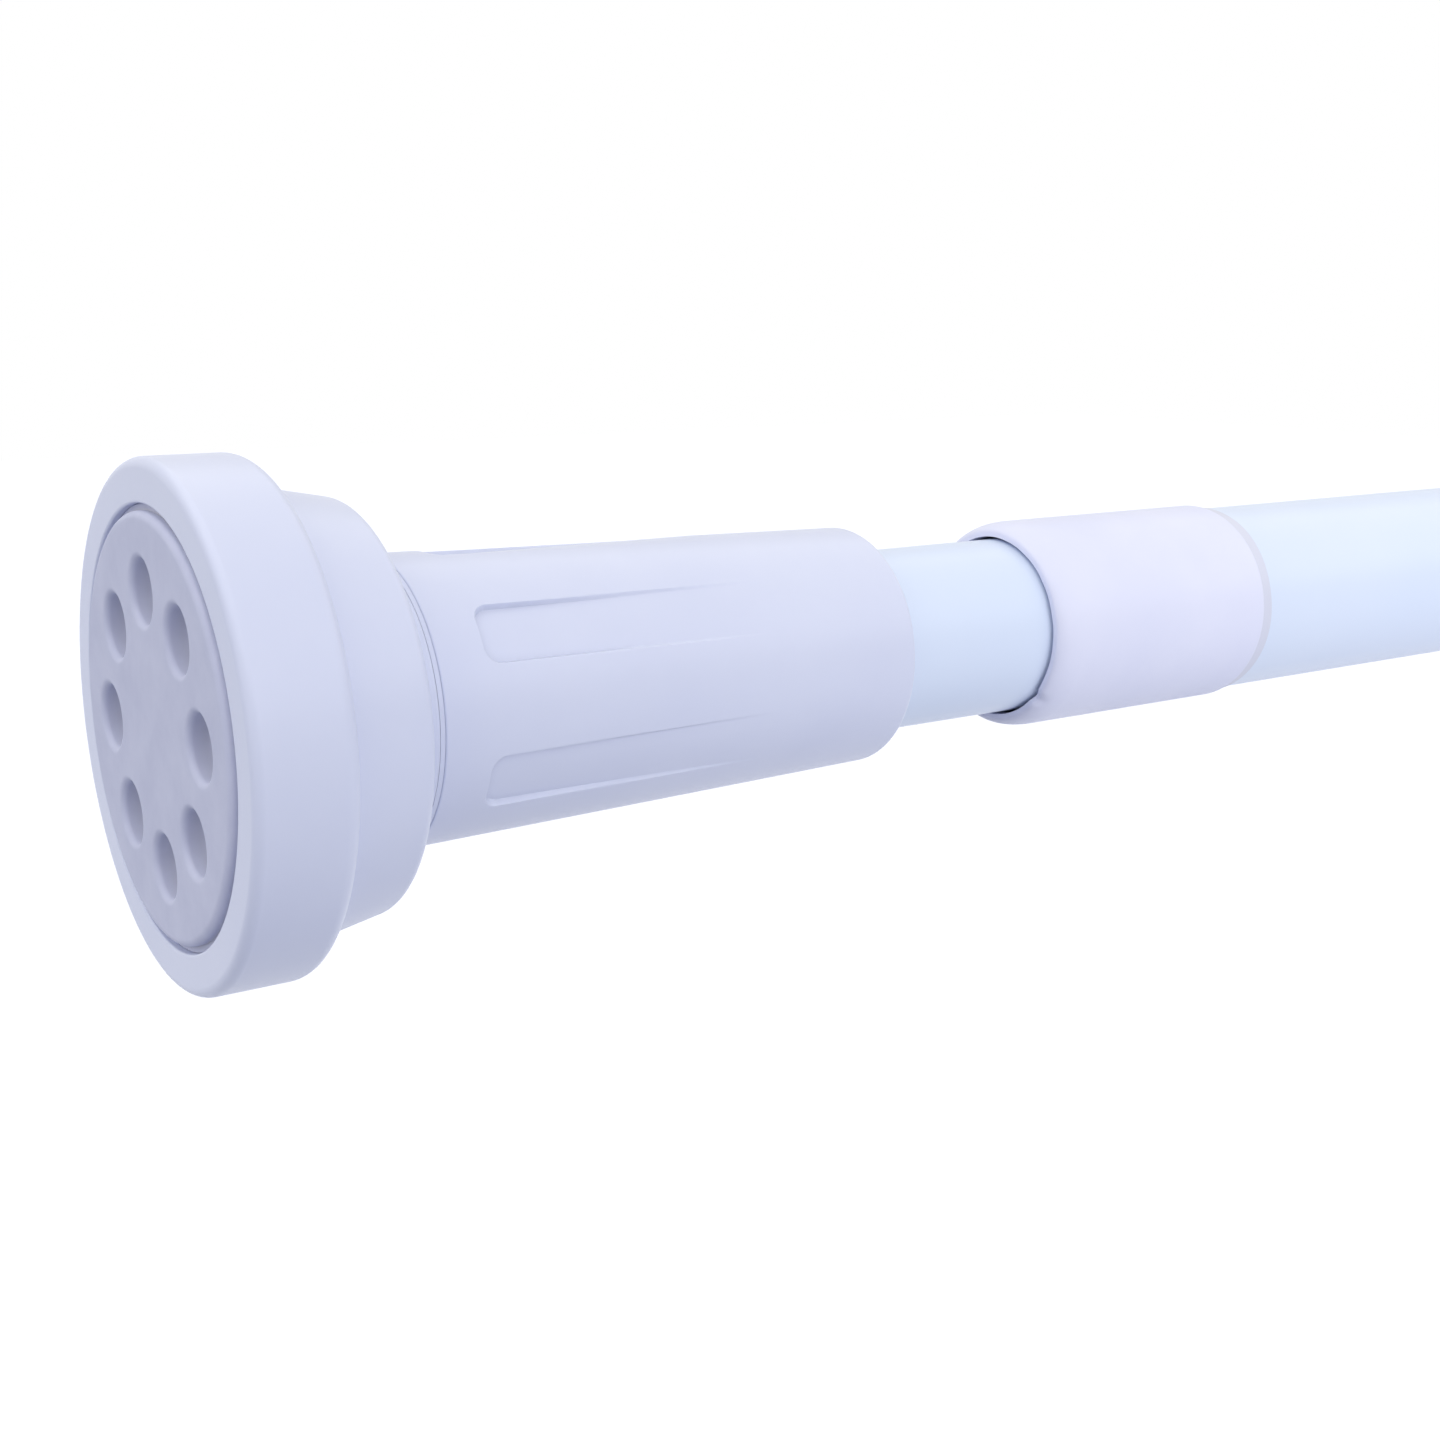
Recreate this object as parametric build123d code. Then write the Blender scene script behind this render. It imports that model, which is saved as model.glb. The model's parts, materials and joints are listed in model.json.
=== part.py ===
"""Extendable curtain rod: two telescoping steel tubes between two wall feet.

The rod lies along X. X = 0 is the wall face of the jack end's soft pad, and the rod runs towards +X.
At the jack end a foot sits on a screw, and turning the grip drives the foot out against the wall.
Inside the outer tube a split expander on a tapered stud locks the two tubes when they are twisted.
"""

import os

from build123d import *

# Clearances
PRESS_CLEARANCE = 0.05
RUNNING_CLEARANCE = 0.2
SLIDING_CLEARANCE = 0.3
MOUTH_CLEARANCE = 0.4
THREAD_CLEARANCE = 0.1
TELESCOPE_CLEARANCE = 0.9

# Tubes
INNER_TUBE_DIAMETER = 22.0
TUBE_WALL = 0.6
OUTER_TUBE_DIAMETER = INNER_TUBE_DIAMETER + 2 * (TUBE_WALL + TELESCOPE_CLEARANCE)
CLOSED_LENGTH = 700.0
SHOWN_GAP = 23.7
CLOSED_GAP = 1.5

# Jack screw and what carries it
SCREW_DIAMETER = 10.0
SCREW_TRAVEL = 24.0
SCREW_TAIL = 3.5
SHOULDER_DIAMETER = 16.0
STUD_DIAMETER = 8.0
STUD_SHORTFALL = 0.6
FOOT_NUT_FLATS = 13.0
FOOT_NUT_THICKNESS = 4.0
WASHER_THICKNESS = 1.4
JACK_NUT_FLATS = 17.0
JACK_NUT_LENGTH = 10.0
THRUST_WASHER_THICKNESS = 1.2
BUSH_FLANGE_STEP = 1.0
BUSH_FLANGE_DIAMETER = INNER_TUBE_DIAMETER + 2 * BUSH_FLANGE_STEP
BUSH_FLANGE_THICKNESS = 3.0
BUSH_SPIGOT_LENGTH = 14.0
BEARING_WALL = 1.0
STOP_CLIP_STEP = 2.2
STOP_CLIP_DIAMETER = SCREW_DIAMETER + 2 * STOP_CLIP_STEP
STOP_CLIP_THICKNESS = 1.2
STOP_CLIP_GROOVE = 0.9
STOP_CLIP_GAP = 1.0
STOP_CLIP_HOLD = 1.5
STOP_CLIP_OPENING = SCREW_DIAMETER - 2 * STOP_CLIP_HOLD

# Grip, and the fixed sleeve of the same outer form at the far end
GRIP_GAP = 0.4
GRIP_LENGTH = 62.4
GRIP_END_WALL = 1.85
GRIP_BORE_DIAMETER = INNER_TUBE_DIAMETER + 2 * (RUNNING_CLEARANCE + BEARING_WALL + PRESS_CLEARANCE)
GRIP_BACK_DIAMETER = GRIP_BORE_DIAMETER + 2 * GRIP_END_WALL
GRIP_TAPER = 1.3
GRIP_FRONT_DIAMETER = GRIP_BACK_DIAMETER + 2 * GRIP_TAPER
GRIP_BACK_ROUND = 0.9
GRIP_WEB = 5.3
BEAD_LENGTH = 1.5
GROOVE_WIDTH = 0.5
GROOVE_DEPTH = 0.3
PANEL_COUNT = 6
PANEL_WIDTH = 6.5
PANEL_START = 7.3
PANEL_DEPTH = 0.85
PANEL_FLOOR_DIAMETER = GRIP_FRONT_DIAMETER - 2 * PANEL_DEPTH
PANEL_CORNER = 1.8
CLOCKING = -4.0

# Foot moulding
FOOT_DIAMETER = 52.6
FOOT_RIM = 4.4
FOOT_RING_LENGTH = 10.2
FOOT_FRONT_ROUND = 1.1
FOOT_BACK_ROUND = 1.6
RING_STEP = 3.15
COLLAR_FRONT_DIAMETER = FOOT_DIAMETER - 2 * RING_STEP
COLLAR_TAPER = 1.85
COLLAR_BACK_DIAMETER = COLLAR_FRONT_DIAMETER - 2 * COLLAR_TAPER
COLLAR_LENGTH = 9.5
COLLAR_ROUND = 1.4
NECK_STEP = 0.3
NECK_DIAMETER = GRIP_FRONT_DIAMETER - 2 * NECK_STEP
NECK_LENGTH = 1.2
FOOT_WALL = 2.6
NUT_SOCKET_ROOM = 2.1
HUB_POCKET_DIAMETER = FOOT_NUT_FLATS + 2 * NUT_SOCKET_ROOM
NUT_HEADROOM = 1.0
HUB_POCKET_DEPTH = WASHER_THICKNESS + FOOT_NUT_THICKNESS + NUT_HEADROOM
HUB_WALL = 1.9
HUB_DIAMETER = HUB_POCKET_DIAMETER + 2 * HUB_WALL
SHOULDER_SEAT_DEPTH = 3.0
RIB_COUNT = 8
RIB_THICKNESS = 1.6

# Soft pad
PAD_GAP = 0.7
PAD_DIAMETER = FOOT_DIAMETER - 2 * (FOOT_RIM + PAD_GAP)
PAD_THICKNESS = 4.6
PAD_PROUD = 0.4
PAD_EDGE_ROUND = 0.8
PAD_HOLE_COUNT = 8
PAD_HOLE_DIAMETER = 6.4
PAD_HOLE_FLOOR = 1.4
PAD_HOLE_DEPTH = PAD_THICKNESS - PAD_HOLE_FLOOR
PAD_HOLE_INSET = 7.7
PAD_HOLE_CIRCLE = PAD_DIAMETER - 2 * PAD_HOLE_INSET
PAD_HOLE_RIM = 0.6
PAD_HOLE_ROUND = 1.4

# Collar at the outer tube's mouth
MOUTH_COLLAR_LENGTH = 39.0
MOUTH_COLLAR_WALL = 0.6
MOUTH_LIP_LENGTH = 2.0
MOUTH_NOSE_LENGTH = 4.0
MOUTH_NOSE_DROP = 1.3
MOUTH_BACK_ROUND = 0.35

# Twist lock
LOCK_SPIGOT_LENGTH = 22.0
LOCK_FLANGE_THICKNESS = 3.0
LOCK_END_CLEARANCE = 4.0
LOCK_END_ROOM = SHOWN_GAP - CLOSED_GAP + LOCK_END_CLEARANCE
EXPANDER_LENGTH = 28.0
EXPANDER_END_PLAY = 1.5
EXPANDER_SLOT_COUNT = 4
EXPANDER_SLOT_WIDTH = 2.0
EXPANDER_ROOT = 8.0
EXPANDER_SLOT_LENGTH = EXPANDER_LENGTH - EXPANDER_ROOT
EXPANDER_GROOVE_COUNT = 5
EXPANDER_GROOVE_WIDTH = 1.6
EXPANDER_GROOVE_DEPTH = 0.6
CONE_BIG_DIAMETER = 13.0
CONE_SMALL_DIAMETER = 9.0
STOP_WASHER_DIAMETER = 15.0
STOP_SCREW_DIAMETER = 4.0
STOP_SCREW_LENGTH = 18.0
STOP_SCREW_HEAD_DIAMETER = 8.0
STOP_SCREW_HEAD_HEIGHT = 2.6

# Fixed foot at the far end
FAR_PLUG_SPIGOT_LENGTH = 24.0
FAR_PLUG_FLANGE_THICKNESS = 4.0
FAR_SCREW_LENGTH = 34.0
FAR_SCREW_HEAD_DIAMETER = 13.6
FAR_SCREW_HEAD_HEIGHT = 4.0

# Radii
inner_r = INNER_TUBE_DIAMETER / 2
inner_bore_r = inner_r - TUBE_WALL
outer_r = OUTER_TUBE_DIAMETER / 2
outer_bore_r = outer_r - TUBE_WALL
screw_r = SCREW_DIAMETER / 2
stud_r = STUD_DIAMETER / 2
shoulder_r = SHOULDER_DIAMETER / 2
flange_r = BUSH_FLANGE_DIAMETER / 2
washer_r = HUB_POCKET_DIAMETER / 2 - RUNNING_CLEARANCE
bearing_bore_r = inner_r + RUNNING_CLEARANCE
bearing_r = bearing_bore_r + BEARING_WALL
grip_bore_r = GRIP_BORE_DIAMETER / 2
sleeve_bore_r = outer_r + PRESS_CLEARANCE
screw_hole_r = screw_r + MOUTH_CLEARANCE
recess_r = FOOT_DIAMETER / 2 - FOOT_RIM
shoulder_seat_r = shoulder_r + RUNNING_CLEARANCE

# Stations along X, from the wall face inwards
ring_front = PAD_PROUD
ring_back = ring_front + FOOT_RING_LENGTH
collar_back = ring_back + COLLAR_LENGTH
neck_back = collar_back + NECK_LENGTH
shoulder_front = neck_back - SHOULDER_SEAT_DEPTH
pocket_floor = PAD_THICKNESS + HUB_POCKET_DEPTH
grip_front = neck_back + GRIP_GAP
grip_back = grip_front + GRIP_LENGTH
jack_nut_front = grip_front + GRIP_WEB
jack_nut_back = jack_nut_front + JACK_NUT_LENGTH
thrust_front = jack_nut_back + RUNNING_CLEARANCE
bush_front = thrust_front + THRUST_WASHER_THICKNESS
inner_tube_front = bush_front + BUSH_FLANGE_THICKNESS
bush_back = inner_tube_front + BUSH_SPIGOT_LENGTH
bearing_front = inner_tube_front + RUNNING_CLEARANCE
stop_clip_front = bush_back + SCREW_TRAVEL + STOP_CLIP_GAP
screw_back = stop_clip_front + STOP_CLIP_THICKNESS + SCREW_TAIL
mouth_front = grip_back + SHOWN_GAP
outer_tube_front = mouth_front + MOUTH_LIP_LENGTH
rest_length = CLOSED_LENGTH + SHOWN_GAP - CLOSED_GAP

# Stations of the far end, from the jack end's wall face
far_sleeve_back = rest_length - grip_front
far_shoulder_back = rest_length - shoulder_front
outer_tube_back = far_sleeve_back - GRIP_WEB - FAR_PLUG_FLANGE_THICKNESS
far_plug_front = outer_tube_back - FAR_PLUG_SPIGOT_LENGTH

# Stations of the twist lock
lock_cone_length = EXPANDER_LENGTH + 2 * EXPANDER_END_PLAY
lock_length = LOCK_FLANGE_THICKNESS + lock_cone_length + WASHER_THICKNESS + STOP_SCREW_HEAD_HEIGHT
inner_tube_back = far_plug_front - LOCK_END_ROOM - lock_length
lock_flange_back = inner_tube_back + LOCK_FLANGE_THICKNESS
lock_cone_back = lock_flange_back + lock_cone_length
stop_washer_back = lock_cone_back + WASHER_THICKNESS


def turned(points, rounds=()):
    """Turns a closed outline of (x, radius) corners about X. rounds holds (corner, radius) pairs."""
    outline = make_face(Polyline(*points, close=True))
    for (x, y), radius in rounds:
        corner = outline.vertices().sort_by_distance((x, y, 0))[0]
        outline = fillet(corner, radius)
    return revolve(outline, Axis.X)


def bar(start, end, radius):
    """Round bar along X."""
    return turned([(start, 0), (end, 0), (end, radius), (start, radius)])


def pipe(start, end, bore, radius):
    """Round pipe along X."""
    return turned([(start, bore), (end, bore), (end, radius), (start, radius)])


def hexagon(start, end, flats):
    """Hexagonal bar along X."""
    section = Plane.YZ.offset(start) * RegularPolygon(flats / 2, 6, major_radius=False)
    return extrude(section, end - start)


def around_x(solid, count):
    """Copies of a solid spaced evenly round X."""
    return [Rot(360 * i / count, 0, 0) * solid for i in range(count)]


def at_far_end(solid):
    """The same piece turned end for end, at the far wall."""
    return Pos(rest_length, 0, 0) * Rot(0, 0, 180) * solid


def soft_pad():
    """Disc that grips the wall, with a ring of blind holes that act as small suckers."""
    radius = PAD_DIAMETER / 2
    front_edge, back_edge = (0, radius), (PAD_THICKNESS, radius)
    disc = turned([(0, 0), (PAD_THICKNESS, 0), back_edge, front_edge], [(front_edge, PAD_EDGE_ROUND)])
    hole_r = PAD_HOLE_DIAMETER / 2
    rim = hole_r + PAD_HOLE_RIM
    floor_edge = (PAD_HOLE_DEPTH, hole_r)
    hole = turned(
        [(0, 0), (PAD_HOLE_DEPTH, 0), floor_edge, (PAD_HOLE_RIM, hole_r), (0, rim)], [(floor_edge, PAD_HOLE_ROUND)]
    )
    hole = Pos(0, 0, PAD_HOLE_CIRCLE / 2) * hole
    return Rot(CLOCKING, 0, 0) * (disc - around_x(hole, PAD_HOLE_COUNT))


def foot_moulding():
    """Stepped cup: a ring round the pad, a tapered collar and a neck, ribbed inside behind the pad."""
    ring_r = FOOT_DIAMETER / 2
    collar_front_r = COLLAR_FRONT_DIAMETER / 2
    collar_back_r = COLLAR_BACK_DIAMETER / 2
    neck_r = NECK_DIAMETER / 2
    cavity_back = collar_back - FOOT_WALL
    cavity_r = collar_back_r - FOOT_WALL
    ring_edge = (ring_front, ring_r)
    ring_rear_edge = (ring_back, ring_r)
    collar_edge = (collar_back, collar_back_r)
    cup = turned(
        [
            (PAD_THICKNESS, 0),
            (PAD_THICKNESS, recess_r),
            (ring_front, recess_r),
            ring_edge,
            ring_rear_edge,
            (ring_back, collar_front_r),
            collar_edge,
            (collar_back, neck_r),
            (neck_back, neck_r),
            (neck_back, 0),
        ],
        [(ring_edge, FOOT_FRONT_ROUND), (ring_rear_edge, FOOT_BACK_ROUND), (collar_edge, COLLAR_ROUND)],
    )
    cavity = pipe(PAD_THICKNESS, cavity_back, HUB_DIAMETER / 2, cavity_r)
    pocket = bar(PAD_THICKNESS, pocket_floor, HUB_POCKET_DIAMETER / 2)
    through = bar(pocket_floor, shoulder_front, stud_r + THREAD_CLEARANCE)
    seat = bar(shoulder_front, neck_back, shoulder_seat_r)
    rib_inner = (HUB_DIAMETER / 2 + HUB_POCKET_DIAMETER / 2) / 2
    rib_outer = cavity_r + FOOT_WALL / 2
    rib = Pos((PAD_THICKNESS + cavity_back) / 2, 0, (rib_inner + rib_outer) / 2) * Box(
        cavity_back - PAD_THICKNESS, RIB_THICKNESS, rib_outer - rib_inner
    )
    moulding = cup - cavity + around_x(rib, RIB_COUNT) - pocket - through - seat
    return Rot(CLOCKING, 0, 0) * moulding


def sleeve_blank():
    """Tapered sleeve with a fine bead at the foot and six finger panels that run out into the taper."""
    front_r = GRIP_FRONT_DIAMETER / 2
    back_r = GRIP_BACK_DIAMETER / 2
    bead_back = grip_front + BEAD_LENGTH
    taper_front = bead_back + GROOVE_WIDTH
    back_edge = (grip_back, back_r)
    sleeve = turned(
        [
            (grip_front, 0),
            (grip_front, front_r),
            (bead_back, front_r),
            (bead_back, front_r - GROOVE_DEPTH),
            (taper_front, front_r - GROOVE_DEPTH),
            (taper_front, front_r),
            back_edge,
            (grip_back, 0),
        ],
        [(back_edge, GRIP_BACK_ROUND)],
    )
    panel_front = grip_front + PANEL_START
    panel_length = grip_back - panel_front
    outline = RectangleRounded(panel_length, PANEL_WIDTH, PANEL_CORNER)
    panel = Pos(panel_front + panel_length / 2, 0, 0) * extrude(outline, GRIP_FRONT_DIAMETER)
    panel -= bar(panel_front, grip_back, PANEL_FLOOR_DIAMETER / 2)
    return Rot(CLOCKING, 0, 0) * (sleeve - around_x(panel, PANEL_COUNT))


def grip():
    """Turning grip: sleeve with a web at the foot, a hexagon seat for the nut and a bore for its bearing."""
    screw_hole = bar(grip_front, jack_nut_front, screw_hole_r)
    nut_seat = hexagon(jack_nut_front, jack_nut_back, JACK_NUT_FLATS + 2 * PRESS_CLEARANCE)
    bore = bar(jack_nut_back, grip_back, grip_bore_r)
    return sleeve_blank() - screw_hole - nut_seat - bore


def grip_bearing():
    """Bush pressed into the grip: it runs on the inner tube and holds the grip on the tube's flange."""
    return pipe(bearing_front, grip_back - RUNNING_CLEARANCE, bearing_bore_r, bearing_r)


def jack_nut():
    """Hexagon nut seated in the grip."""
    return hexagon(jack_nut_front, jack_nut_back, JACK_NUT_FLATS) - bar(
        jack_nut_front, jack_nut_back, screw_r + THREAD_CLEARANCE
    )


def jack_screw():
    """Screw fixed in the foot: a stud through the hub, a shoulder in the neck and a long threaded shank."""
    groove_back = stop_clip_front + STOP_CLIP_THICKNESS
    groove_r = screw_r - STOP_CLIP_GROOVE
    return turned(
        [
            (PAD_THICKNESS + STUD_SHORTFALL, 0),
            (PAD_THICKNESS + STUD_SHORTFALL, stud_r),
            (shoulder_front, stud_r),
            (shoulder_front, shoulder_r),
            (neck_back, shoulder_r),
            (neck_back, screw_r),
            (stop_clip_front, screw_r),
            (stop_clip_front, groove_r),
            (groove_back, groove_r),
            (groove_back, screw_r),
            (screw_back, screw_r),
            (screw_back, 0),
        ]
    )


def hub_washer():
    """Washer on the floor of the hub's pocket."""
    return pipe(pocket_floor - WASHER_THICKNESS, pocket_floor, stud_r + THREAD_CLEARANCE, washer_r)


def foot_nut():
    """Nut that draws the jack screw's shoulder into the foot."""
    back = pocket_floor - WASHER_THICKNESS
    front = back - FOOT_NUT_THICKNESS
    return hexagon(front, back, FOOT_NUT_FLATS) - bar(front, back, stud_r + PRESS_CLEARANCE)


def stop_clip():
    """Open clip in the screw's groove, which ends the jack's travel at the bush."""
    groove_r = screw_r - STOP_CLIP_GROOVE
    back = stop_clip_front + STOP_CLIP_THICKNESS
    clip = pipe(stop_clip_front, back, groove_r + PRESS_CLEARANCE, STOP_CLIP_DIAMETER / 2)
    opening = Pos((stop_clip_front + back) / 2, 0, -STOP_CLIP_DIAMETER / 2) * Box(
        2 * STOP_CLIP_THICKNESS, STOP_CLIP_OPENING, STOP_CLIP_DIAMETER
    )
    return clip - opening


def tube_bush():
    """Bush in the inner tube's end: its flange carries the jack's thrust and holds the grip."""
    return turned(
        [
            (bush_front, screw_hole_r),
            (bush_front, flange_r),
            (inner_tube_front, flange_r),
            (inner_tube_front, inner_bore_r - PRESS_CLEARANCE),
            (bush_back, inner_bore_r - PRESS_CLEARANCE),
            (bush_back, screw_hole_r),
        ]
    )


def thrust_washer():
    """Washer between the jack nut and the bush."""
    return pipe(thrust_front, bush_front, screw_hole_r, flange_r)


def inner_tube():
    """Plain tube from the grip into the outer tube."""
    return pipe(inner_tube_front, inner_tube_back, inner_bore_r, inner_r)


def outer_tube():
    """Plain tube from its mouth collar into the far sleeve."""
    return pipe(outer_tube_front, outer_tube_back, outer_bore_r, outer_r)


def mouth_collar():
    """Thin collar over the outer tube's mouth, with a rounded nose and a lip that guides the inner tube."""
    bore_r = outer_r + PRESS_CLEARANCE
    radius = bore_r + MOUTH_COLLAR_WALL
    back = mouth_front + MOUTH_COLLAR_LENGTH
    lip_r = inner_r + MOUTH_CLEARANCE
    nose_start = (mouth_front, radius - MOUTH_NOSE_DROP)
    nose_end = (mouth_front + MOUTH_NOSE_LENGTH, radius)
    nose_centre = (nose_end[0], nose_start[1])
    nose = EllipticalCenterArc(nose_centre, MOUTH_NOSE_LENGTH, MOUTH_NOSE_DROP, start_angle=90, arc_size=90)
    rest = Polyline(
        nose_end,
        (back, radius),
        (back, bore_r),
        (outer_tube_front, bore_r),
        (outer_tube_front, lip_r),
        (mouth_front, lip_r),
        nose_start,
    )
    outline = make_face([nose, rest])
    corner = outline.vertices().sort_by_distance((back, radius, 0))[0]
    return revolve(fillet(corner, MOUTH_BACK_ROUND), Axis.X)


def lock_plug():
    """Plug in the inner tube's end with a tapered stud that spreads the expander."""
    spigot_front = inner_tube_back - LOCK_SPIGOT_LENGTH
    spigot_r = inner_bore_r - PRESS_CLEARANCE
    pilot_front = stop_washer_back - STOP_SCREW_LENGTH
    plug = turned(
        [
            (spigot_front, 0),
            (spigot_front, spigot_r),
            (inner_tube_back, spigot_r),
            (inner_tube_back, inner_r),
            (lock_flange_back, inner_r),
            (lock_flange_back, CONE_BIG_DIAMETER / 2),
            (lock_cone_back, CONE_SMALL_DIAMETER / 2),
            (lock_cone_back, 0),
        ]
    )
    return plug - bar(pilot_front, lock_cone_back, STOP_SCREW_DIAMETER / 2 + PRESS_CLEARANCE)


def lock_expander():
    """Split collet on the tapered stud, ringed outside, which jams in the outer tube when spread."""
    front = lock_flange_back + EXPANDER_END_PLAY
    back = front + EXPANDER_LENGTH
    radius = outer_bore_r - SLIDING_CLEARANCE
    fall = (CONE_BIG_DIAMETER - CONE_SMALL_DIAMETER) / 2 / lock_cone_length

    def bore_at(x):
        return CONE_BIG_DIAMETER / 2 - fall * (x - lock_flange_back) + RUNNING_CLEARANCE

    collet = turned([(front, bore_at(front)), (front, radius), (back, radius), (back, bore_at(back))])
    pitch = EXPANDER_LENGTH / EXPANDER_GROOVE_COUNT
    for i in range(EXPANDER_GROOVE_COUNT):
        middle = front + pitch * (i + 0.5)
        start = middle - EXPANDER_GROOVE_WIDTH / 2
        end = middle + EXPANDER_GROOVE_WIDTH / 2
        collet -= pipe(start, end, radius - EXPANDER_GROOVE_DEPTH, OUTER_TUBE_DIAMETER)
    slot = Pos(back - EXPANDER_SLOT_LENGTH / 2, 0, radius) * Box(
        EXPANDER_SLOT_LENGTH, EXPANDER_SLOT_WIDTH, 2 * radius
    )
    return collet - around_x(slot, EXPANDER_SLOT_COUNT)


def stop_washer():
    """Washer that keeps the expander on its stud."""
    hole_r = STOP_SCREW_DIAMETER / 2 + PRESS_CLEARANCE
    return pipe(lock_cone_back, stop_washer_back, hole_r, STOP_WASHER_DIAMETER / 2)


def stop_screw():
    """Pan-head screw in the end of the stud."""
    head_back = stop_washer_back + STOP_SCREW_HEAD_HEIGHT
    head_r = STOP_SCREW_HEAD_DIAMETER / 2
    shank_r = STOP_SCREW_DIAMETER / 2
    head_edge = (head_back, head_r)
    return turned(
        [
            (stop_washer_back - STOP_SCREW_LENGTH, 0),
            (stop_washer_back - STOP_SCREW_LENGTH, shank_r),
            (stop_washer_back, shank_r),
            (stop_washer_back, head_r),
            head_edge,
            (head_back, 0),
        ],
        [(head_edge, STOP_SCREW_HEAD_HEIGHT / 2)],
    )


def far_sleeve():
    """Sleeve fixed on the outer tube at the far wall, matching the grip."""
    web_back = grip_front + GRIP_WEB
    hole = bar(grip_front, web_back, shoulder_seat_r)
    bore = bar(web_back, grip_back, sleeve_bore_r)
    return at_far_end(sleeve_blank() - hole - bore)


def far_plug():
    """Plug in the outer tube's far end: a flange under the sleeve's web and a shoulder in the foot's neck."""
    spigot_r = outer_bore_r - PRESS_CLEARANCE
    flange_back = outer_tube_back + FAR_PLUG_FLANGE_THICKNESS
    plug = turned(
        [
            (far_plug_front, 0),
            (far_plug_front, spigot_r),
            (outer_tube_back, spigot_r),
            (outer_tube_back, outer_r),
            (flange_back, outer_r),
            (flange_back, shoulder_r),
            (far_shoulder_back, shoulder_r),
            (far_shoulder_back, 0),
        ]
    )
    screw_tip = rest_length - pocket_floor + WASHER_THICKNESS - FAR_SCREW_LENGTH
    return plug - bar(screw_tip, far_shoulder_back, stud_r + PRESS_CLEARANCE)


def far_screw():
    """Pan-head screw that holds the fixed foot on its plug."""
    seat = pocket_floor - WASHER_THICKNESS
    head_front = seat - FAR_SCREW_HEAD_HEIGHT
    head_r = FAR_SCREW_HEAD_DIAMETER / 2
    head_edge = (head_front, head_r)
    screw = turned(
        [
            (head_front, 0),
            head_edge,
            (seat, head_r),
            (seat, stud_r),
            (seat + FAR_SCREW_LENGTH, stud_r),
            (seat + FAR_SCREW_LENGTH, 0),
        ],
        [(head_edge, FAR_SCREW_HEAD_HEIGHT / 2)],
    )
    return at_far_end(screw)


NODES = {
    "near_pad": soft_pad,
    "near_foot": foot_moulding,
    "jack_screw": jack_screw,
    "foot_nut": foot_nut,
    "foot_washer": hub_washer,
    "stop_clip": stop_clip,
    "grip": grip,
    "grip_bearing": grip_bearing,
    "jack_nut": jack_nut,
    "thrust_washer": thrust_washer,
    "tube_bush": tube_bush,
    "inner_tube": inner_tube,
    "lock_plug": lock_plug,
    "lock_stop_washer": stop_washer,
    "lock_stop_screw": stop_screw,
    "lock_expander": lock_expander,
    "outer_tube": outer_tube,
    "mouth_collar": mouth_collar,
    "far_plug": far_plug,
    "far_sleeve": far_sleeve,
    "far_foot": lambda: at_far_end(foot_moulding()),
    "far_pad": lambda: at_far_end(soft_pad()),
    "far_screw": far_screw,
    "far_washer": lambda: at_far_end(hub_washer()),
}

os.makedirs("parts", exist_ok=True)
for name, make in NODES.items():
    export_step(make(), f"parts/{name}.step")
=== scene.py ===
"""Looks of the extendable curtain rod.

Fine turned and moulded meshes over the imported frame, in soft studio light. Lengths are in metres, in
the part's own frame: the rod lies along X, and X = 0 is the jack end's wall face.
"""

import json
from math import atan2, cos, hypot, pi, radians, sin, tan

import bmesh
import bpy
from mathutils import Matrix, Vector


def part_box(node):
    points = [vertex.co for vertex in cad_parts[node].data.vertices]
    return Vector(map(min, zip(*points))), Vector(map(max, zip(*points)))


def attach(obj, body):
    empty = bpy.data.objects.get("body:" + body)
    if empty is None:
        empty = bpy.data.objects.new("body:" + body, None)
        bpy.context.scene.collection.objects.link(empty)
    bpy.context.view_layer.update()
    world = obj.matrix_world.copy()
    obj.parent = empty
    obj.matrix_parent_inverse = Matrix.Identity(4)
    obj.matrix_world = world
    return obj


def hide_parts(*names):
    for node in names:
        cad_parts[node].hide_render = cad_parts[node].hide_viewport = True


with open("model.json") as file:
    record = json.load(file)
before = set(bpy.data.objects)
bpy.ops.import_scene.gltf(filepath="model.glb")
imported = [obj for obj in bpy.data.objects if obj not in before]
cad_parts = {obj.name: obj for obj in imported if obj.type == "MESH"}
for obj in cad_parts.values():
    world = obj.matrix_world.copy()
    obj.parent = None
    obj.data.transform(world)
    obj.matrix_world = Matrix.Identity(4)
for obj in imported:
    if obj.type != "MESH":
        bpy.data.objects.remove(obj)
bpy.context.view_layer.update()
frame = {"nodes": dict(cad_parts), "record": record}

MM = 0.001

# Camera: place, heading and focal length of the photograph's view
CAMERA_PLACE = (-53.5 * MM, -177.1 * MM, 40.5 * MM)
CAMERA_HEADING = radians(34.04)
CAMERA_PITCH = radians(12.57)
CAMERA_LENS_MM = 46.94
CAMERA_SENSOR_MM = 36.0
CAMERA_CLIP = 5 * MM

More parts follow.
